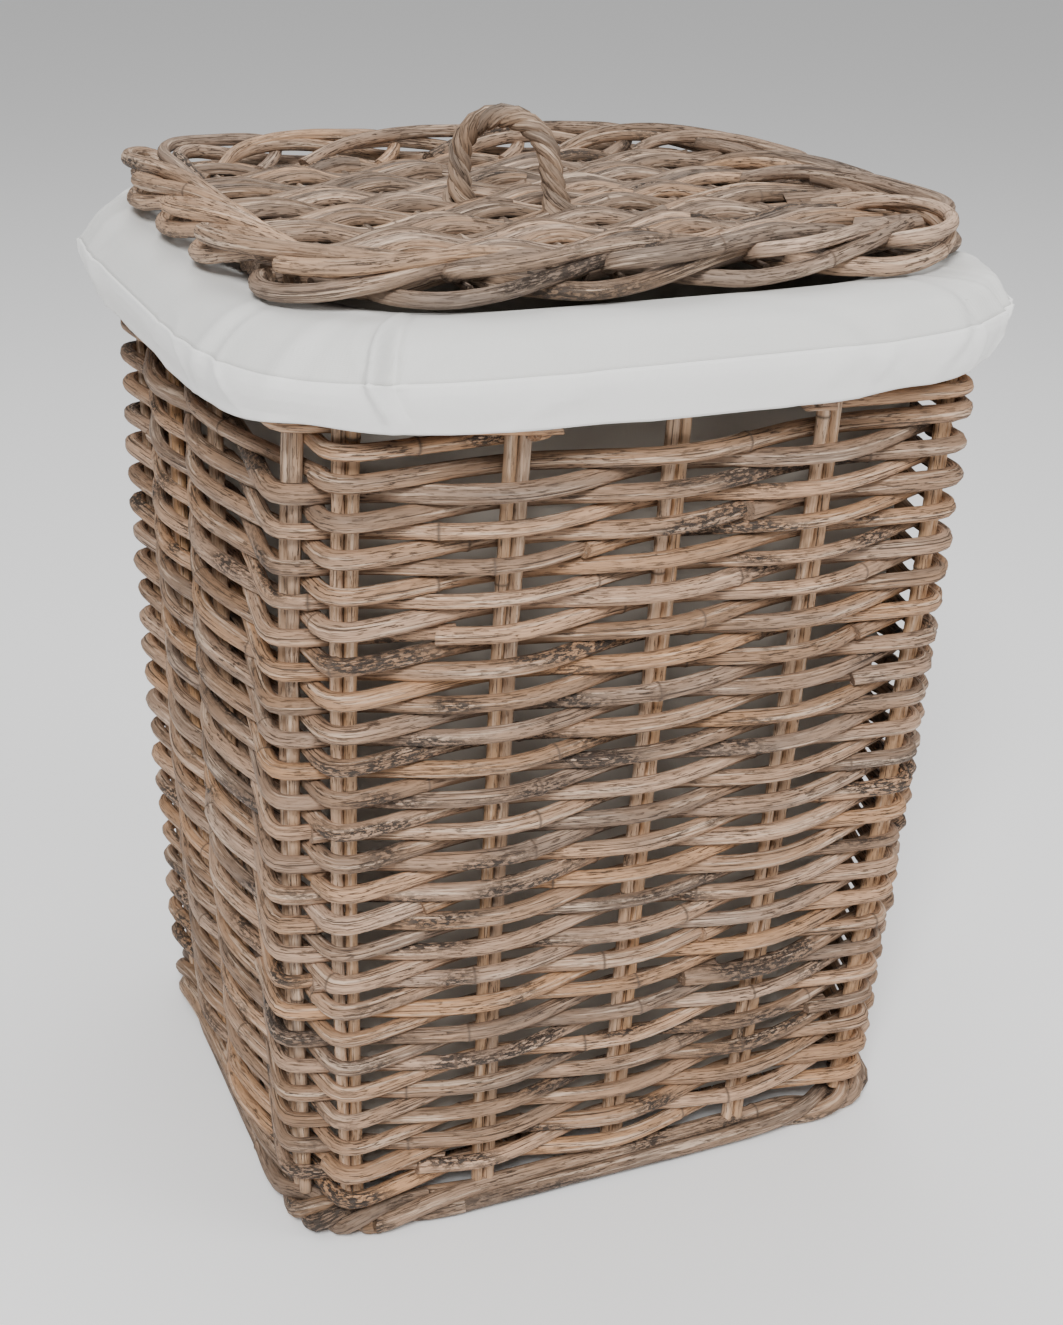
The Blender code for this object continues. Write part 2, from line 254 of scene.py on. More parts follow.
class Canes:
    """Gathers swept canes into one mesh, with their grain coordinates, tone and ring marks."""

    def __init__(self, seed):
        self.random = random.Random(seed)
        self.points, self.faces = [], []
        self.grain, self.tone, self.ring = [], [], []

    def add(self, path, radius, tone=None, knob=0.08, taper=(1.0, 1.0), cut=0.35, rings=(0.14, 0.46)):
        """Sweeps one cane along a path, with swollen ring marks and its two ends cut a little askew."""
        seed = self.random.uniform(0.0, 90.0)
        tone = self.random.random() if tone is None else tone
        lengths = np.concatenate([[0.0], np.cumsum([(q - p).length for p, q in zip(path, path[1:])])])
        length = float(lengths[-1])
        marks = []
        place = self.random.uniform(0.02, rings[1])
        while place < length:
            marks.append(place)
            place += self.random.uniform(*rings)
        places = self.places(length, marks)
        coords = np.array([tuple(p) for p in path])
        line = [Vector(c) for c in zip(*(np.interp(places, lengths, coords[:, k]) for k in range(3)))]
        lean = self.random.uniform(0.0, math.tau)
        first, last = len(self.points), len(line) - 1
        side = None
        for i, (point, along) in enumerate(zip(line, places)):
            tangent = (line[min(i + 1, last)] - line[max(i - 1, 0)]).normalized()
            side = tangent.orthogonal() if side is None else side - tangent * side.dot(tangent)
            side.normalize()
            rise = side.cross(tangent)
            away = min((abs(along - mark) for mark in marks), default=1.0)
            swell = 0.13 * math.exp(-(away / 0.0020) ** 2)
            swell += 0.06 * noise.noise(Vector((along * 14.0, seed, 0.0)))
            thick = radius * mix(*taper, along / length) * (1.0 + swell)
            slant = cut * (-1.0 if i == 0 else 1.0) if i in (0, last) else 0.0
            for k in range(CANE_SIDES):
                angle = math.tau * k / CANE_SIDES
                across, lift = math.cos(angle), math.sin(angle)
                lump = noise.noise(Vector((across * 1.2, lift * 1.2, along * 40.0 + seed)))
                reach = thick * (1.0 + knob * lump)
                shift = slant * reach * math.cos(angle - lean)
                self.points.append(point + (side * across + rise * lift) * reach + tangent * shift)
                self.grain.append((across * radius + seed, lift * radius + seed * 0.7, along + seed))
                self.tone.append(tone)
                tip = CUT_END_MARK if i in (0, last) else 0.0
                self.ring.append(max(tip, math.exp(-(away / 0.0008) ** 2)))
        for i in range(last):
            low = first + i * CANE_SIDES
            high = low + CANE_SIDES
            for k in range(CANE_SIDES):
                after = (k + 1) % CANE_SIDES
                self.faces.append((low + k, low + after, high + after, high + k))
        self.faces.append(tuple(first + k for k in reversed(range(CANE_SIDES))))
        self.faces.append(tuple(first + last * CANE_SIDES + k for k in range(CANE_SIDES)))

    def places(self, length, marks):
        """Where the cane's rings of points go: evenly, and closer at ring marks and both ends."""
        found = set(np.linspace(0.0, length, max(3, round(length / CANE_STEP) + 1)).tolist())
        for mark in marks:
            found.update(mark + gap for gap in (-0.0034, -0.0014, 0.0, 0.0014, 0.0034))
        found.update((0.0009, length - 0.0009))
        return [place for place in sorted(found) if 0.0 <= place <= length]

    def piece(self, name, material, body, replaced, slot):
        """The gathered canes as a piece that rides on a body and stands for CAD nodes."""
        data = bpy.data.meshes.new(name)
        data.from_pydata([tuple(p) for p in self.points], [], self.faces)
        data.update()
        for label, kind, values in (("grain", "FLOAT_VECTOR", self.grain), ("tone", "FLOAT", self.tone),
                                    ("ring", "FLOAT", self.ring)):
            layer = data.attributes.new(label, kind, "POINT")
            key = "vector" if kind == "FLOAT_VECTOR" else "value"
            layer.data.foreach_set(key, np.array(values, np.float32).ravel())
        data.shade_smooth()
        data.set_sharp_from_angle(angle=math.radians(55.0))
        data.materials.append(material)
        settle(name, data, body, replaced)


def settle(name, data, body, replaced):
    """A mesh as a piece of the scene that rides on a body and stands for CAD nodes."""
    piece = bpy.data.objects.new(name, data)
    bpy.context.scene.collection.objects.link(piece)
    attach(piece, body)
    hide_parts(*replaced)
    return piece


# ---------------------------------------------------------------- materials

def node_tree(name):
    made = bpy.data.materials.new(name)
    made.use_nodes = True
    return made, made.node_tree, made.node_tree.nodes["Principled BSDF"]


def add_node(tree, kind, inputs=(), **settings):
    node = tree.nodes.new(kind)
    for key, value in settings.items():
        setattr(node, key, value)
    for key, value in dict(inputs).items():
        if isinstance(value, bpy.types.NodeSocket):
            tree.links.new(value, node.inputs[key])
        else:
            node.inputs[key].default_value = value
    return node


def ramp(tree, value, stops):
    """A colour ramp: stops are (place, colour or grey level)."""
    node = add_node(tree, "ShaderNodeValToRGB", {"Fac": value})
    marks = node.color_ramp.elements
    while len(marks) < len(stops):
        marks.new(0.5)
    for mark, (place, colour) in zip(marks, stops):
        mark.position = place
        mark.color = (*colour, 1.0) if isinstance(colour, tuple) else (colour, colour, colour, 1.0)
    return node.outputs["Color"]


def blend(tree, share, low, high, mode="MIX"):
    node = add_node(tree, "ShaderNodeMix", data_type="RGBA", blend_type=mode)
    for key, value in (("Factor", share), ("A", low), ("B", high)):
        socket = next(s for s in node.inputs if s.name == key and s.enabled)
        if isinstance(value, bpy.types.NodeSocket):
            tree.links.new(value, socket)
        else:
            socket.default_value = (*value, 1.0) if isinstance(value, tuple) else value
    return next(s for s in node.outputs if s.enabled)


def stretched_noise(tree, grain, scale, detail=3.0, roughness=0.55):
    """Noise in grain coordinates, with its own scale round and along the cane."""
    place = add_node(tree, "ShaderNodeMapping", {"Vector": grain, "Scale": scale}).outputs["Vector"]
    return add_node(tree, "ShaderNodeTexNoise", {"Vector": place, "Scale": 1.0, "Detail": detail,
                                                 "Roughness": roughness}).outputs["Fac"]


def rattan(name, light, mid, dark, bark=0.5, cracks=0.5):
    """Weathered rattan: per-cane tone, streaks, short cracks, patches of bark and ring marks."""
    made, tree, shader = node_tree(name)
    grain = add_node(tree, "ShaderNodeAttribute", attribute_name="grain").outputs["Vector"]
    tone = add_node(tree, "ShaderNodeAttribute", attribute_name="tone").outputs["Fac"]
    ring = add_node(tree, "ShaderNodeAttribute", attribute_name="ring").outputs["Fac"]
    pale_peel, ring_mark = (0.74, 0.56, 0.42), (0.115, 0.077, 0.054)
    crack, skin = (0.034, 0.020, 0.013), (0.050, 0.036, 0.027)

    body = ramp(tree, tone, [(0.0, dark), (0.22, mid), (0.62, light), (0.82, mid), (1.0, dark)])
    spread = add_node(tree, "ShaderNodeMath", {0: tone, 1: 7.3}, operation="MULTIPLY").outputs[0]
    own = add_node(tree, "ShaderNodeMath", {0: spread}, operation="FRACT").outputs[0]
    chroma = add_node(tree, "ShaderNodeMapRange", {"Value": own, "To Min": 0.78, "To Max": 1.15})
    body = add_node(tree, "ShaderNodeHueSaturation", {"Color": body, "Saturation": chroma.outputs[0]}
                    ).outputs["Color"]
    patch = stretched_noise(tree, grain, (90.0, 90.0, 15.0), 4.0)
    body = blend(tree, ramp(tree, patch, [(0.40, 0.0), (0.68, 0.85)]), body, mid)
    cool = stretched_noise(tree, grain, (50.0, 50.0, 7.0), 3.0)
    body = blend(tree, ramp(tree, cool, [(0.50, 0.0), (0.70, 0.55)]), body,
                 tuple(sum(dark) / 3.0 * k for k in (1.25, 1.06, 0.92)))
    streak = stretched_noise(tree, grain, (850.0, 850.0, 24.0), 4.0)
    body = blend(tree, ramp(tree, streak, [(0.38, 0.0), (0.70, 0.65)]), body, dark)
    peel = stretched_noise(tree, grain, (380.0, 380.0, 14.0), 5.0, 0.65)
    body = blend(tree, ramp(tree, peel, [(0.54, 0.0), (0.64, 0.55)]), body, pale_peel)

    zone = stretched_noise(tree, grain, (26.0, 26.0, 9.0), 2.0)
    zone = ramp(tree, zone, [(0.64 - 0.12 * bark, 0.0), (0.70 - 0.10 * bark, 1.0)])
    flakes = stretched_noise(tree, grain, (620.0, 620.0, 240.0), 6.0, 0.7)
    flakes = ramp(tree, flakes, [(0.46, 0.0), (0.52, 1.0)])
    bark_mask = blend(tree, 1.0, zone, flakes, "MULTIPLY")
    body = blend(tree, bark_mask, body, skin)

    rough_zone = stretched_noise(tree, grain, (70.0, 70.0, 28.0), 2.0)
    rough_zone = ramp(tree, rough_zone, [(0.36, 0.25), (0.60, 1.0)])
    dashes = stretched_noise(tree, grain, (1250.0, 1250.0, 120.0), 4.0, 0.62)
    dashes = ramp(tree, dashes, [(0.61 - 0.06 * cracks, 0.0), (0.645 - 0.06 * cracks, 1.0)])
    dashes = blend(tree, 1.0, rough_zone, dashes, "MULTIPLY")
    splits = stretched_noise(tree, grain, (1100.0, 1100.0, 16.0), 3.0, 0.5)
    splits = ramp(tree, splits, [(0.66 - 0.04 * cracks, 0.0), (0.68 - 0.04 * cracks, 1.0)])
    marks = blend(tree, 1.0, dashes, splits, "LIGHTEN")
    body = blend(tree, blend(tree, 1.0, marks, (0.85, 0.85, 0.85), "MULTIPLY"), body, crack)
    body = blend(tree, ring, body, ring_mark)
    tree.links.new(body, shader.inputs["Base Color"])

    tree.links.new(ramp(tree, streak, [(0.3, 0.55), (0.7, 0.72)]), shader.inputs["Roughness"])
    shader.inputs["Specular IOR Level"].default_value = 0.35

    relief = blend(tree, 0.35, streak, bark_mask, "SUBTRACT")
    relief = blend(tree, 1.0, relief, marks, "SUBTRACT")
    bump = add_node(tree, "ShaderNodeBump", {"Height": relief, "Strength": 0.8, "Distance": 0.0010})
    tree.links.new(bump.outputs["Normal"], shader.inputs["Normal"])
    return made


def cotton(name, colour, shade, painted_bag_shade=None):
    """Plain-weave cotton with slubs and rare dark specks. The bag part may get a darker, warmer tint,
    which is painted shade for the basket's shaded inside.
    """
    made, tree, shader = node_tree(name)
    speck = (0.10, 0.085, 0.075)
    place = add_node(tree, "ShaderNodeAttribute", attribute_name="cloth").outputs["Vector"]
    waves = [add_node(tree, "ShaderNodeTexWave", {"Vector": place, "Scale": 330.0, "Distortion": 0.6,
                                                  "Detail": 1.0}, bands_direction=axis).outputs["Fac"]
             for axis in ("X", "Y")]
    weave = blend(tree, 1.0, waves[0], waves[1], "MULTIPLY")
    slub = stretched_noise(tree, place, (900.0, 70.0, 70.0), 2.0)
    cross = stretched_noise(tree, place, (60.0, 900.0, 60.0), 2.0)
    cloud = stretched_noise(tree, place, (9.0, 9.0, 9.0), 3.0)
    body = blend(tree, ramp(tree, cloud, [(0.3, 0.0), (0.75, 0.30)]), colour, shade)
    body = blend(tree, ramp(tree, weave, [(0.0, 0.10), (0.6, 0.0)]), body, shade)
    threads = blend(tree, 0.5, slub, cross, "ADD")
    body = blend(tree, ramp(tree, threads, [(0.72, 0.0), (0.95, 0.14)]), body, shade)
    if painted_bag_shade:
        # painted shade: below the skirt the bag's colour is multiplied by a warm grey, so it reads dark
        # through the weave
        depth = add_node(tree, "ShaderNodeSeparateXYZ", {"Vector": place}).outputs["Y"]
        bag = blend(tree, 1.0, body, painted_bag_shade, "MULTIPLY")
        body = blend(tree, ramp(tree, depth, [(0.500, 0.0), (0.525, 1.0)]), bag, body)
    cells = add_node(tree, "ShaderNodeTexVoronoi", {"Vector": place, "Scale": 26.0})
    rare = add_node(tree, "ShaderNodeSeparateXYZ", {"Vector": cells.outputs["Color"]}).outputs["X"]
    specks = blend(tree, 1.0, ramp(tree, cells.outputs["Distance"], [(0.018, 1.0), (0.034, 0.0)]),
                   ramp(tree, rare, [(0.90, 0.0), (0.91, 0.75)]), "MULTIPLY")
    body = blend(tree, specks, body, speck)
    tree.links.new(body, shader.inputs["Base Color"])
    shader.inputs["Roughness"].default_value = 0.92
    shader.inputs["Specular IOR Level"].default_value = 0.15
    shader.inputs["Sheen Weight"].default_value = 0.15
    relief = blend(tree, 0.25, weave, threads, "ADD")
    bump = add_node(tree, "ShaderNodeBump", {"Height": relief, "Strength": 0.30, "Distance": 0.0003})
    tree.links.new(bump.outputs["Normal"], shader.inputs["Normal"])
    return made


WEAVER = rattan("weathered_rattan", (0.62, 0.375, 0.225), (0.385, 0.230, 0.135), (0.185, 0.116, 0.074),
                bark=0.6, cracks=0.9)
STAKE = rattan("stake_rattan", (0.70, 0.43, 0.25), (0.55, 0.335, 0.19), (0.34, 0.213, 0.128),
               bark=0.1, cracks=0.4)
BORDER = rattan("border_rattan", (0.48, 0.295, 0.178), (0.32, 0.198, 0.120), (0.16, 0.103, 0.068),
                bark=0.7, cracks=0.9)
LID_CANE = rattan("lid_rattan", (0.600, 0.388, 0.250), (0.270, 0.176, 0.115), (0.125, 0.087, 0.062),
                  bark=0.4, cracks=0.9)
LID_EDGE = rattan("lid_edge_rattan", (0.690, 0.446, 0.288), (0.310, 0.202, 0.132), (0.144, 0.100, 0.071),
                  bark=0.4, cracks=0.9)
HANDLE = rattan("handle_rattan", (0.46, 0.310, 0.205), (0.33, 0.220, 0.145), (0.17, 0.118, 0.082),
                bark=0.15, cracks=0.9)
# the last colour of the liner cotton is the painted shade tint for the bag inside the basket
COTTON = cotton("liner_cotton", (0.67, 0.668, 0.645), (0.60, 0.595, 0.575), (0.74, 0.67, 0.60))
HEM_COTTON = cotton("hem_cotton", (0.86, 0.855, 0.835), (0.78, 0.775, 0.755))


# ---------------------------------------------------------------- wall

def stakes():
    """Two sticks side by side for each stake pair."""
    for index, node in enumerate(COLUMN_NODES):
        canes = Canes(100 + index)
        low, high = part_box(node)
        for sign in (-1.0, 1.0):
            path = []
            drift = canes.random.uniform(0.0, 50.0)
            z = low.z - 0.004
            while z < high.z + 0.003:
                centre, along, normal = column(index, z)
                sway = 0.0006 * noise.noise(Vector((z * 9.0, drift, sign)))
                path.append(centre + along * (sign * STICK_SPREAD + sway) + normal * sway)
                z += STICK_STEP
            radius = STICK_RADIUS * canes.random.uniform(0.93, 1.05)
            canes.add(path, radius, knob=0.05, rings=(0.14, 0.30))
        canes.piece(f"stakes_{node}", STAKE, "basket", [node], "stake_cane")


def pass_points(index, z, side, radius):
    """Where a cane passes a stake pair: side is 1 outside it and -1 inside it."""
    centre, along, normal = column(index, z)
    reach = STICK_RADIUS + radius + TOUCH_GAP
    at_corner = index % COLUMNS in CORNERS and side > 0
    runs = (-CORNER_HALF_RUN, CORNER_HALF_RUN) if at_corner else (0.0,)
    return [centre + normal * reach * side + along * run for run in runs]


def weaver(letter):
    """One of the two chasing weavers, as rods joined end to end, a piece for each CAD cane."""
    steps = int(WEAVE_TURNS * COLUMNS)
    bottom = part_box(f"weaver_{letter}_cane_1")[0].z + CAD_CANE_RADIUS
    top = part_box(f"weaver_{letter}_cane_6")[1].z - CAD_CANE_RADIUS
    per_cane = TURNS_PER_CANE * COLUMNS
    for number, low in enumerate(range(0, steps, per_cane), 1):
        canes = Canes(200 + 10 * number + ord(letter))
        high = min(low + per_cane, steps)
        start = low
        while start < high:
            end = min(high, start + canes.random.randint(*ROD_STEPS))
            end = high if high - end < SHORTEST_ROD else end
            rod(canes, letter, start, end, (bottom, top, steps))
            start = end
        canes.piece(f"weave_{letter}_{number}", WEAVER, "basket", [f"weaver_{letter}_cane_{number}"],
                    "weaver_cane")


def rod(canes, letter, start, end, climb):
    """One rod of a weaver. Between stakes its tail runs in behind the blunt head of the next rod."""
    bottom, top, steps = climb
    radius = canes.random.uniform(*CANE_RADII)
    drift = canes.random.uniform(0.0, 80.0)
    passes = []
    for step in range(start - 1, end + 1):
        index = FIRST_COLUMNS[letter] + step
        z = mix(bottom, top, step / steps) + 0.0012 * noise.noise(Vector((step * 0.37, drift, 0.0)))
        side = 1.0 if (index % 2 == 0) == (letter == "a") else -1.0
        passes.append(pass_points(index, z, side, radius))
    points = [point for group in passes[1:-1] for point in group]
    if start > 0:
        outward = column(FIRST_COLUMNS[letter] + start, points[0].z)[2]
        head = passes[0][-1].lerp(points[0], canes.random.uniform(0.42, 0.60))
        points.insert(0, head + outward * 0.55 * radius)
    if end < steps:
        outward = column(FIRST_COLUMNS[letter] + end, points[-1].z)[2]
        tail = points[-1].lerp(passes[-1][0], canes.random.uniform(0.62, 0.80))
        points.append(tail - outward * 0.85 * radius)
    taper = (1.06, 0.88) if canes.random.random() < 0.7 else (0.92, 1.04)
    canes.add(catmull(points, CANE_STEP), radius, taper=taper)


def slot_rods(side):
    """The rods that go to and fro between the front and back slots."""
    first, direction = SLOT_COLUMNS[side]
    columns = [first + direction * step for step in range(SLOT_SPAN)]
    start_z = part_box(f"slot_cane_{side}")[0].z + CAD_CANE_RADIUS
    canes = Canes(SLOT_SEEDS[side])
    for turn in range(SLOT_PASSES):
        radius = canes.random.uniform(*SLOT_CANE_RADII)
        z = start_z + SLOT_PASS_RISE * turn
        points = []
        for step, index in enumerate(columns):
            here = pass_points(index, z, 1.0 if (turn + step) % 2 else -1.0, radius)
            points += here if direction > 0 else here[::-1]
        is_last = turn == SLOT_PASSES - 1
        before = rod_end(canes, columns[0], z, points[0], points[1], is_last)
        after = rod_end(canes, columns[-1], z, points[-1], points[-2], is_last)
        canes.add(catmull(before[::-1] + points + after, CANE_STEP), radius)
    canes.piece(f"slot_weave_{side}", WEAVER, "basket", [f"slot_cane_{side}"], "weaver_cane")


def rod_end(canes, index, z, end, other, is_last):
    """How a slot rod goes on past its last stake pair: cut outside it, or turned back from inside."""
    centre, _, normal = column(index, z)
    onward = (end - other).normalized()
    if normal.dot(end - centre) > 0.0:
        return [end + onward * canes.random.uniform(0.012, 0.020) - normal * 0.002]
    if is_last:
        return [end + onward * 0.010 + normal * 0.004]
    return [centre + onward * 0.0105 - normal * 0.004 + UP * 0.001,
            centre + onward * 0.0125 + normal * 0.004 + UP * 0.004,
            centre + onward * 0.004 + normal * 0.0105 + UP * 0.0055]


def ring_path(half, power, phase, level, swing, lift, twists, seed):
    """One strand of a border that winds round the outline with the others, twists times."""
    points = []
    for i in range(BORDER_POINTS + 1):
        turn = math.tau * i / BORDER_POINTS
        spin = twists * turn + phase
        loose = BORDER_WANDER * noise.noise(Vector((math.cos(turn) * 3.0, math.sin(turn) * 3.0, seed)))
        out = swing * math.cos(spin) + loose
        unit = superellipse(turn, power)
        points.append(Vector(((half[0] + out) * unit.x, (half[1] + out) * unit.y,
                              level + lift * math.sin(spin) + 0.5 * loose)))
    return points


def wound_border(name, node, radius, swing, lift, power, twists, seed):
    """A border of strands laid round one another, each cut into lengths with its ends tucked."""
    low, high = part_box(node)
    level = (low.z + high.z) / 2.0
    half = (high.x - swing - radius * 1.05, high.y - swing - radius * 1.05)
    canes = Canes(seed)
    for strand in range(BORDER_STRANDS):
        phase = math.tau * strand / BORDER_STRANDS
        path = even(ring_path(half, power, phase, level, swing, lift, twists, seed + strand), CANE_STEP)
        start = canes.random.randrange(len(path) - 1)
        path = path[start:-1] + path[:start + 1]
        cuts = sorted(canes.random.sample(range(30, len(path) - 30), 2))
        for low_cut, high_cut in zip([0, *cuts], [*cuts, len(path)]):
            canes.add(path[max(0, low_cut - 3):high_cut], radius * canes.random.uniform(0.92, 1.08))
    canes.piece(name, BORDER, "basket", [node], "border_cane")


def base():
    """Sticks across the foot, with canes laced over and under them."""
    canes = Canes(401)
    names = [f"base_stick_{i}" for i in range(1, BASE_STICKS + 1)]
    for name in names:
        low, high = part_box(name)
        ends = [Vector((x, (low.y + high.y) / 2.0, (low.z + high.z) / 2.0)) for x in (low.x, high.x)]
        canes.add(even(ends, 0.02), BASE_STICK_RADIUS)
    canes.piece("base_sticks", STAKE, "basket", names, "base_cane_finish")

    canes = Canes(402)
    rods = [(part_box(name)[0].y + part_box(name)[1].y) / 2.0 for name in names]
    low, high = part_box("base_cane")
    level = (low.z + high.z) / 2.0
    for i in range(BASE_CANES):
        x = mix(low.x + 0.005, high.x - 0.005, i / (BASE_CANES - 1))
        points = [Vector((x, low.y + 0.002, level))]
        for step, y in enumerate(rods):
            lift = BASE_CANE_LIFT if (i // 2 + step) % 2 else -BASE_CANE_LIFT
            points.append(Vector((x, y, level + lift)))
        points.append(Vector((x, high.y - 0.002, level)))
        canes.add(catmull(points, 0.007), BASE_CANE_RADIUS * canes.random.uniform(0.9, 1.05))
    canes.piece("base_weave", WEAVER, "basket", ["base_cane"], "base_cane_finish")


stakes()
for letter in FIRST_COLUMNS:
    weaver(letter)
for side in SLOT_COLUMNS:
    slot_rods(side)
wound_border("foot_wale", "foot_border", radius=0.0051, swing=0.0060, lift=0.0050, power=9.0,
             twists=7, seed=501)
wound_border("rim_wale", "rim_border", radius=0.0030, swing=0.0060, lift=0.0020, power=5.0,
             twists=8, seed=511)
base()


# ---------------------------------------------------------------- liner

def cloth_sheet(name, rows, material, nodes_replaced, thickness, closed_bottom):
    """A cloth from rows of points, each row a closed loop, with its own cloth coordinates."""
    mesh = bmesh.new()
    rings = [[mesh.verts.new(p) for p in row] for row in rows]
    place = mesh.loops.layers.float_vector.new("cloth")
    widths = [0.0]
    middle = rows[len(rows) // 2]
    for p, q in zip(middle, middle[1:] + middle[:1]):
        widths.append(widths[-1] + (q - p).length)
    depths = [0.0]
    for lower, upper in zip(rows, rows[1:]):
        depths.append(depths[-1] + sum((q - p).length for p, q in zip(lower[::8], upper[::8]))
                      / len(lower[::8]))
    for r, (lower, upper) in enumerate(zip(rings, rings[1:])):
        for i in range(len(lower)):
            after = (i + 1) % len(lower)
            face = mesh.faces.new((lower[i], lower[after], upper[after], upper[i]))
            corners = ((widths[i], depths[r]), (widths[i + 1], depths[r]),
                       (widths[i + 1], depths[r + 1]), (widths[i], depths[r + 1]))
            for loop, (across, along) in zip(face.loops, corners):
                loop[place] = Vector((across, along, 0.0))
    if closed_bottom:
        floor = mesh.faces.new(rings[0][::-1])
        for loop in floor.loops:
            loop[place] = Vector((loop.vert.co.x, loop.vert.co.y, 0.3))
    bmesh.ops.recalc_face_normals(mesh, faces=mesh.faces)
    data = bpy.data.meshes.new(name)
    mesh.to_mesh(data)
    mesh.free()
    data.shade_smooth()
    data.materials.append(material)
    piece = settle(name, data, "liner", nodes_replaced)
    solid = piece.modifiers.new("thickness", "SOLIDIFY")
    solid.thickness = thickness
    solid.offset = 0.0
    return piece


def crumple(where):
    """Soft folds and a few sharper ones, in metres."""
    slanted = Vector((where.x * 9.0 + where.y * 6.0, where.y * 9.0 - where.x * 6.0, where.z * 16.0))
    sharp = 1.0 - min(1.0, abs(noise.noise(where * 15.0 + Vector((9.0, 2.0, 4.0)))) / 0.13)
    return 0.0050 * noise.noise(slanted) + 0.0017 * sharp * sharp


def skirt_folds(turn, unit, where, share):
    """How far the skirt stands out and up at a place, from its sag, soft folds and creases."""
    degrees = math.degrees(turn)
    away = degrees - SAG_ANGLE
    lift = -SAG_DEPTH * math.exp(-(away / SAG_WIDTH) ** 2) * smooth(0.26, 0.56, share)
    away -= PERK_AWAY
    lift += PERK_HEIGHT * math.exp(-(away / SAG_WIDTH) ** 2) * smooth(0.28, 0.46, share)
    weight = math.sin(math.pi * min(1.0, max(0.0, share))) ** 0.7
    out = weight * (crumple(where) - 0.0040 * unit.x)
    out -= 0.0055 * max(0.0, unit.x) ** 3 * smooth(0.40, 0.60, share)
    for angle, lean, height, width in SKIRT_CREASES:
        away = (degrees - angle - lean * (share - 0.5) + 180.0) % 360.0 - 180.0
        ridge = math.exp(-(away / width) ** 2)
        ridge -= 0.6 * math.exp(-((away - 1.6 * width) / width) ** 2)
        out += height * weight * ridge
        lift += 0.4 * height * weight * ridge
    return out, lift


def bag_folds(unit, where):
    """How far the bag stands out at a place: its sides hang in and fold, its corners stay out."""
    z = where.z
    corner = smooth(0.35, 0.94, min(abs(unit.x), abs(unit.y)))
    free = smooth(0.03, 0.10, z) * smooth(0.50, 0.44, z)
    fold = 1.0 - abs(noise.noise(Vector((where.x * 24.0, where.y * 24.0, z * 3.0)))) / 0.35
    drawn_in = BAG_DRAWN_IN * (1.0 - corner) + 0.0045 * max(0.0, fold) ** 1.5
    drawn_in += 0.0030 * (1.0 + noise.noise(Vector((where.x * 9.0, where.y * 9.0, z * 12.0))))
    return (0.0014 * noise.noise(where * 11.0) - 0.0006) * smooth(0.026, 0.034, z) - drawn_in * free


def liner_loop(offset, z, share, power, is_skirt):
    """One loop of the liner, out from the stake line by an offset. share runs down the skirt, 0 to 1."""
    half = half_sizes(min(z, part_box("rim_border")[1].z))
    loop = []
    for i in range(LINER_COUNT):
        turn = math.tau * (i + 0.5) / LINER_COUNT
        unit = superellipse(turn, power)
        where = Vector((unit.x * 0.2, unit.y * 0.2, z))
        out, lift = skirt_folds(turn, unit, where, share) if is_skirt else (bag_folds(unit, where), 0.0)
        loop.append(Vector((unit.x * (half[0] + offset + out), unit.y * (half[1] + offset + out),
                            z + lift)))
    return loop


def hem_loop(offset, z, share):
    """One loop of the hem band, from share 0 at the seam to share 1 at its waving lower edge."""
    loop = liner_loop(offset, z, min(mix(SEAM_SHARE, 1.0, share), 0.9), LINER_POWER, True)
    for point in loop:
        wave = 0.0028 * noise.noise(Vector((point.x * 22.0, point.y * 22.0, 7.0)))
        degrees = math.degrees(math.atan2(point.y, point.x)) % 360.0
        for angle, height, width in HEM_WAVES:
            wave += height * math.exp(-((degrees - angle) / width) ** 2)
        point.z += wave * share
    return loop


def profile_points(stops, count):
    """Evenly spaced points on a smooth profile through (offset, height) stops."""
    path = even(catmull([Vector((x, 0.0, z)) for x, z in stops], 0.0015), 0.0015)
    picks = np.linspace(0, len(path) - 1, count).round().astype(int)
    return [(path[k].x, path[k].z) for k in picks]


def liner():
    """The bag and its turned-over skirt as one cloth, and the doubled hem band under the seam."""
    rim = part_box("rim_border")[1].z
    hem_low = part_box("liner_hem")[0].z
    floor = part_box("liner_bag")[0].z + 0.0008
    bag = profile_points([(-0.0330, floor), (-0.0225, floor + 0.003), (-0.0185, floor + 0.012),
                          (-0.0162, 0.10), (-0.0162, 0.30), (-0.0170, 0.44), (-0.0225, rim - 0.045),
                          (-0.0320, rim - 0.018), (-0.0345, rim - 0.006), (-0.0290, rim + 0.0012)], 44)
    skirt = profile_points([(-0.0290, rim + 0.0012), (-0.0200, rim + 0.0034), (-0.0070, rim + 0.0040),
                            (0.0060, rim + 0.0034), (0.0170, rim - 0.0008), (0.0262, rim - 0.0095),
                            (0.0306, rim - 0.0150)], 28)
    rows = [liner_loop(offset, z, 0.0, mix(BAG_POWER, LINER_POWER, smooth(0.44, rim, z)), False)
            for offset, z in bag[:-1]]
    rows += [liner_loop(offset, z, i / (len(skirt) - 1) * SEAM_SHARE, LINER_POWER, True)
             for i, (offset, z) in enumerate(skirt)]
    body = cloth_sheet("liner_cloth", rows, COTTON, ["liner_bag"], 0.0009, True)

    hem = profile_points([(0.0312, rim - 0.0142), (0.0314, rim - 0.020), (0.0298, rim - 0.028),
                          (0.0270, rim - 0.037), (0.0246, hem_low - 0.0028)], 16)
    rows = [hem_loop(offset, z, i / (len(hem) - 1)) for i, (offset, z) in enumerate(hem)]
    band = cloth_sheet("liner_hem_band", rows, HEM_COTTON, ["liner_hem"], 0.0017, False)


liner()


# ---------------------------------------------------------------- lid

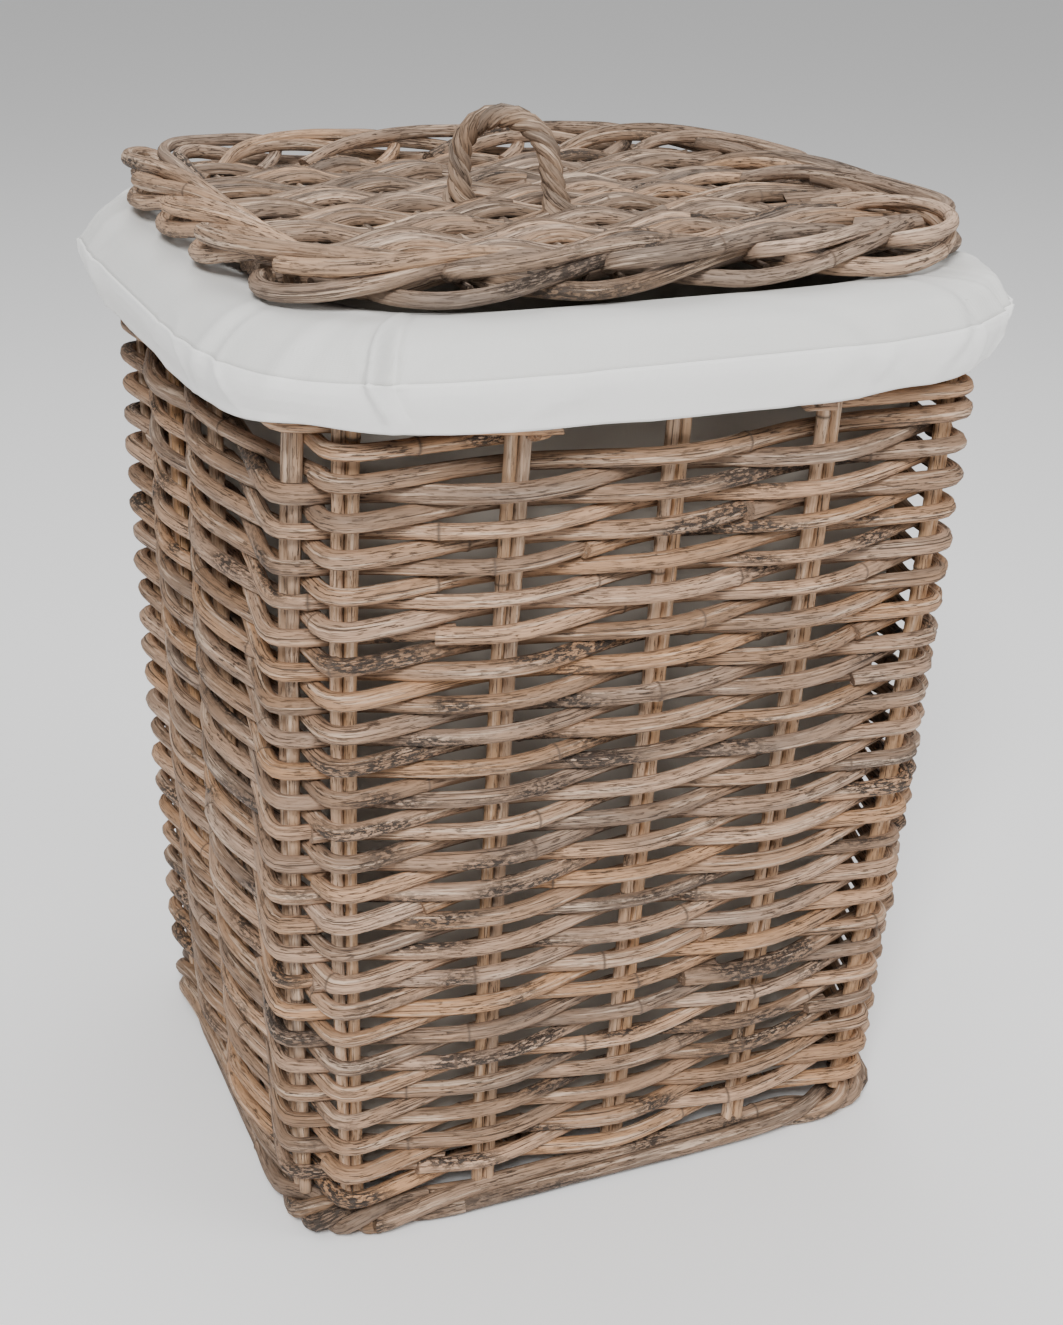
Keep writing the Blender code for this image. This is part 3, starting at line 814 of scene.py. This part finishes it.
class Outline:
    """A closed, level superellipse, measured along its length, anticlockwise from above."""

    def __init__(self, half, power):
        units = [superellipse(math.tau * i / OUTLINE_POINTS, power) for i in range(OUTLINE_POINTS + 1)]
        self.line = even([Vector((half[0] * unit.x, half[1] * unit.y, 0.0)) for unit in units], 0.004)
        self.step = (self.line[1] - self.line[0]).length
        self.length = self.step * (len(self.line) - 1)

    def at(self, place, out, z):
        """The point at a distance round the line, out from it and at a height."""
        turns = (place % self.length) / self.step
        low = int(turns)
        p, q = (self.line[k % (len(self.line) - 1)] for k in (low, low + 1))
        before, after = (self.line[k % (len(self.line) - 1)] for k in (low - 3, low + 4))
        along = (after - before).normalized()
        return p.lerp(q, turns - low) + Vector((along.y, -along.x, 0.0)) * out + UP * z


def lid_lift(point):
    """The lid's own warp: its back left corner stands up, and it runs out and down to the right."""
    corner = max(0.0, (point.y - point.x) / 0.4)
    right = max(0.0, point.x / 0.2)
    lift = 0.003 * corner ** 1.3 - 0.0010 * right ** 2
    return point + UP * lift + Vector((0.0065 * right ** 2, 0.0, 0.0))


def lid_border():
    """Long canes crossing round the edge, every other one turned back on itself in a hairpin."""
    low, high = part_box("lid_border")
    middle = Outline((high.x - 0.013, high.y - 0.009), LID_POWER)
    mid_z = (low.z + high.z) / 2.0
    canes = Canes(601)
    count = 2 * round(middle.length / LID_PITCH / 2.0)
    for i in range(count):
        pattern = LID_ARM if i % 2 == 0 else LID_HAIRPIN
        start = (i + canes.random.uniform(-0.12, 0.12)) * middle.length / count
        reach = canes.random.uniform(0.90, 1.22)
        shift = canes.random.uniform(-0.0008, 0.0008)
        points = []
        for along, out, up in pattern:
            stretch = reach if along > 0.01 else 1.0
            points.append(lid_lift(middle.at(start + along * stretch, out + shift, mid_z + up)))
        if canes.random.random() < 0.15:
            points = points[:-2]
        canes.add(catmull(points, CANE_STEP), canes.random.uniform(*LID_EDGE_RADII),
                  taper=(1.04, 0.93), cut=0.5)
    canes.piece("lid_edge", LID_EDGE, "lid", ["lid_border"], "lid_cane_finish")


LID_RIB_NAMES = sorted(name for name in nodes if name.startswith("lid_rib_"))
LID_RIB_BOXES = [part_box(name) for name in LID_RIB_NAMES]


def lid_ribs():
    """Thin sticks from front to back across the lid, with their ends in its border."""
    canes = Canes(611)
    for low, high in LID_RIB_BOXES:
        x, z = (low.x + high.x) / 2.0, (low.z + high.z) / 2.0
        ends = [Vector((x, low.y - 0.012, z)), Vector((x, high.y + 0.012, z))]
        # tone 0 gives every rib the darkest lid colour: painted shade, so the ribs read as dark crevices
        # between the panel canes
        canes.add([lid_lift(p) for p in even(ends, 0.01)], LID_RIB_RADIUS, tone=0.0)
    canes.piece("lid_ribs", LID_CANE, "lid", LID_RIB_NAMES, "lid_cane_finish")


def lid_weave():
    """Canes laced over and under the ribs in bands, each band opposite to the one before it."""
    canes = Canes(621)
    places = [(low.x + high.x) / 2.0 for low, high in LID_RIB_BOXES]
    z = (LID_RIB_BOXES[0][0].z + LID_RIB_BOXES[0][1].z) / 2.0
    low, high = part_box("lid_cane")
    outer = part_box("lid_border")[1] - Vector((0.016, 0.009, 0.0))
    bands = []
    while len(bands) < LID_PANEL_CANES:
        bands += [len(set(bands))] * canes.random.randint(3, 5)
    shifts = [[canes.random.uniform(-0.004, 0.004) for _ in places] for _ in range(max(bands) + 1)]
    for i in range(LID_PANEL_CANES):
        y = mix(low.y - 0.0075, high.y + 0.0075, i / (LID_PANEL_CANES - 1))
        radius = canes.random.uniform(*LID_PANEL_RADII)
        drift = canes.random.uniform(0.0, 50.0)
        edge = outer.x * (1.0 - abs(y / outer.y) ** LID_POWER) ** (1.0 / LID_POWER)
        points = [Vector((-edge, y, z + LID_END_RISE))]
        for step, (x, shift) in enumerate(zip(places, shifts[bands[i]])):
            if abs(x) > edge - 0.012:
                continue
            lift = canes.random.uniform(0.9, 1.1) * (LID_OVER if (bands[i] + step) % 2 else LID_UNDER)
            sway = 0.0026 * noise.noise(Vector((x * 14.0, drift, 0.0)))
            points.append(Vector((x + shift, y + sway, z + lift)))
        points.append(Vector((edge, y, z + LID_END_RISE)))
        spliced(canes, [lid_lift(p) for p in points], radius)
    canes.piece("lid_weave", LID_CANE, "lid", ["lid_cane"], "lid_cane_finish")


def spliced(canes, points, radius):
    """A cane over the lid, whole, or in two rods whose ends lie one on the other at a rib."""
    joint = canes.random.choice((0, 0, 3, 4, 5, 6))
    if joint == 0 or joint > len(points) - 3:
        canes.add(catmull(points, CANE_STEP), radius)
        return
    before, here, after = points[joint - 1:joint + 2]
    tail = here.lerp(after, 0.30) + UP * 0.0022
    head = here.lerp(before, 0.35) - UP * 0.0022
    canes.add(catmull(points[:joint] + [here + UP * 0.0012, tail], CANE_STEP), radius * 0.95)
    onward = here.lerp(after, 0.15) - UP * 0.0014
    canes.add(catmull([head, onward] + points[joint + 1:], CANE_STEP), radius)


def handle():
    """A hoop of strands twisted round one another, with the ends splayed into the panel."""
    low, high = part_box("lid_handle")
    centre = (low + high) / 2.0
    reach = Vector((high.x - low.x - 2.0 * HANDLE_RADIUS, low.y - high.y + 2.0 * HANDLE_RADIUS, 0.0))
    half_span = reach.length / 2.0
    across = reach.normalized()
    shoulder = high.z - HANDLE_RADIUS - half_span + 0.003
    foot = low.z - 0.010
    spine = [Vector((centre.x, centre.y, foot)) - across * half_span * 1.02]
    for i in range(HOOP_STEPS + 1):
        turn = math.pi * i / HOOP_STEPS
        lean = 0.0035 - 0.0035 * math.cos(turn)
        spine.append(Vector((centre.x, centre.y, shoulder + half_span * math.sin(turn)))
                     - across * (half_span * math.cos(turn) - lean))
    spine.append(Vector((centre.x, centre.y, foot)) + across * (half_span + 0.013))
    spine = even(spine, SPINE_STEP)
    depth = across.cross(UP)
    canes = Canes(701)
    for strand in range(HANDLE_STRANDS):
        points = []
        for i, point in enumerate(spine):
            tangent = (spine[min(i + 1, len(spine) - 1)] - spine[max(i - 1, 0)]).normalized()
            inward = depth.cross(tangent)
            spin = math.tau * (i * SPINE_STEP / STRAND_PITCH + strand / HANDLE_STRANDS)
            to_end = SPINE_STEP * min(i, len(spine) - 1 - i)
            spread = STRAND_SPREAD + 0.0065 * max(0.0, 1.0 - to_end / 0.016) ** 2
            points.append(point + (depth * math.cos(spin) + inward * math.sin(spin)) * spread)
        canes.add(points, STRAND_RADIUS, knob=0.05, rings=(0.3, 0.5))
    canes.piece("handle_rope", HANDLE, "lid", ["lid_handle"], "handle_cane")


lid_border()
lid_ribs()
lid_weave()
handle()


# ---------------------------------------------------------------- stage, lights and camera

def stage():
    """A plain pale floor, and soft light from the sky, strongest from overhead."""
    mesh = bmesh.new()
    bmesh.ops.create_grid(mesh, x_segments=1, y_segments=1, size=20.0)
    data = bpy.data.meshes.new("floor")
    mesh.to_mesh(data)
    mesh.free()
    made, tree, shader = node_tree("floor_paint")
    shader.inputs["Base Color"].default_value = (0.96, 0.96, 0.96, 1.0)
    shader.inputs["Roughness"].default_value = 0.9
    data.materials.append(made)
    floor = bpy.data.objects.new("floor", data)
    bpy.context.scene.collection.objects.link(floor)

    world = bpy.data.worlds.new("studio")
    world.use_nodes = True
    tree = world.node_tree
    place = add_node(tree, "ShaderNodeTexCoord").outputs["Generated"]
    height = add_node(tree, "ShaderNodeSeparateXYZ", {"Vector": place}).outputs["Z"]
    sky = ramp(tree, height, [(0.0, 0.15), (1.0, 1.0)])
    tree.links.new(sky, tree.nodes["Background"].inputs["Color"])
    tree.nodes["Background"].inputs["Strength"].default_value = 0.72
    bpy.context.scene.world = world


def area_light(name, place, size, power):
    data = bpy.data.lights.new(name, "AREA")
    data.shape = "DISK"
    data.size = size
    data.energy = power
    light = bpy.data.objects.new(name, data)
    light.location = place
    light.rotation_euler = (LAMP_AIM - Vector(place)).to_track_quat("-Z", "Y").to_euler()
    bpy.context.scene.collection.objects.link(light)


def camera():
    """The view from the front left, a little above the lid."""
    data = bpy.data.cameras.new("camera")
    data.lens = CAMERA_LENS
    eye = bpy.data.objects.new("camera", data)
    yaw, pitch, roll = CAMERA_TURNS
    forward = Vector((math.sin(yaw) * math.cos(pitch), math.cos(yaw) * math.cos(pitch),
                      -math.sin(pitch)))
    right = Vector((math.cos(yaw), -math.sin(yaw), 0.0))
    above = right.cross(forward)
    right, above = (right * math.cos(roll) + above * math.sin(roll),
                    above * math.cos(roll) - right * math.sin(roll))
    turn = Matrix((right, above, -forward)).transposed()
    eye.matrix_world = Matrix.LocRotScale(CAMERA_PLACE, turn, None)
    bpy.context.scene.collection.objects.link(eye)
    bpy.context.scene.camera = eye


stage()
area_light("key", (-1.3, -2.4, 2.65), size=1.0, power=148.0)
area_light("fill", (2.2, -2.0, 1.8), size=1.6, power=32.0)
area_light("top", (0.2, 0.8, 2.8), size=1.6, power=26.0)
camera()
